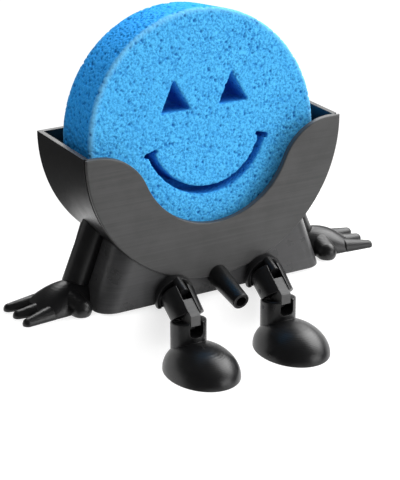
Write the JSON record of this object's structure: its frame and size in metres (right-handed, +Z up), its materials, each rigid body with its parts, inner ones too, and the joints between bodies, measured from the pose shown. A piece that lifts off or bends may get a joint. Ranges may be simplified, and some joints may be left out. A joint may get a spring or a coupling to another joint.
{
  "type": "sponge holder",
  "caption": "Round-bottomed sponge holder with a drain spout, hands that rest on a ledge and jointed legs that hang over its edge; a round face sponge stands in the bowl.",
  "frame": {"origin": "on the plane the holder sits on, under the middle of the bowl's width and depth", "axes": "+X to the right of someone who faces the holder, +Y away from them, +Z up"},
  "size_m": [0.1788, 0.0914, 0.1464],
  "materials": {
    "black_plastic": "satin",
    "panel_plastic": "satin",
    "tongue_plastic": "satin",
    "steel": "turned",
    "foam": "open-pored foam"
  },
  "bodies": {
    "holder": {"arm_left": "black_plastic", "arm_right": "black_plastic", "base_plate": "black_plastic", "base_screw_1": "steel", "base_screw_2": "steel", "base_screw_3": "steel", "base_screw_4": "steel", "bowl_shell": "black_plastic", "drain_spout": "black_plastic", "front_panel": "panel_plastic", "hand_left": "black_plastic", "hand_right": "black_plastic", "pedestal": "black_plastic"},
    "hip_left": {"hip_hood_left": "black_plastic", "hip_screw_left": "steel"},
    "thigh_left": {"thigh_left": "black_plastic", "hip_pin_left": "steel", "knee_tongue_left": "tongue_plastic", "tongue_pin_left": "steel"},
    "boot_left": {"boot_left": "black_plastic", "knee_pin_left": "steel"},
    "hip_right": {"hip_hood_right": "black_plastic", "hip_screw_right": "steel"},
    "thigh_right": {"thigh_right": "black_plastic", "hip_pin_right": "steel", "knee_tongue_right": "tongue_plastic", "tongue_pin_right": "steel"},
    "boot_right": {"boot_right": "black_plastic", "knee_pin_right": "steel"},
    "sponge": {"sponge": "foam"}
  },
  "joints": [
    {"name": "hip_swivel_left", "type": "hinge", "parent": "holder", "child": "hip_left", "pos_m": [-0.0226, -0.0221, 0.004], "axis": [0, 1, 0], "range_deg": [-8, 20]},
    {"name": "hip_swing_left", "type": "hinge", "parent": "hip_left", "child": "thigh_left", "pos_m": [-0.0226, -0.0291, 0.0035], "axis": [-1, 0, 0], "range_deg": [-8, 12]},
    {"name": "knee_left", "type": "hinge", "parent": "thigh_left", "child": "boot_left", "pos_m": [-0.0226, -0.03678, -0.00566], "axis": [-1, 0, 0], "range_deg": [0, 20]},
    {"name": "hip_swivel_right", "type": "hinge", "parent": "holder", "child": "hip_right", "pos_m": [0.0226, -0.0221, 0.004], "axis": [0, 1, 0], "range_deg": [-20, 8]},
    {"name": "hip_swing_right", "type": "hinge", "parent": "hip_right", "child": "thigh_right", "pos_m": [0.0226, -0.0291, 0.0035], "axis": [-1, 0, 0], "range_deg": [-8, 12]},
    {"name": "knee_right", "type": "hinge", "parent": "thigh_right", "child": "boot_right", "pos_m": [0.0226, -0.03678, -0.00566], "axis": [-1, 0, 0], "range_deg": [0, 20]},
    {"name": "sponge_lift", "type": "slide", "parent": "holder", "child": "sponge", "axis": [0, 0.1219, 0.9925], "range_m": [0, 0.09]}
  ]
}
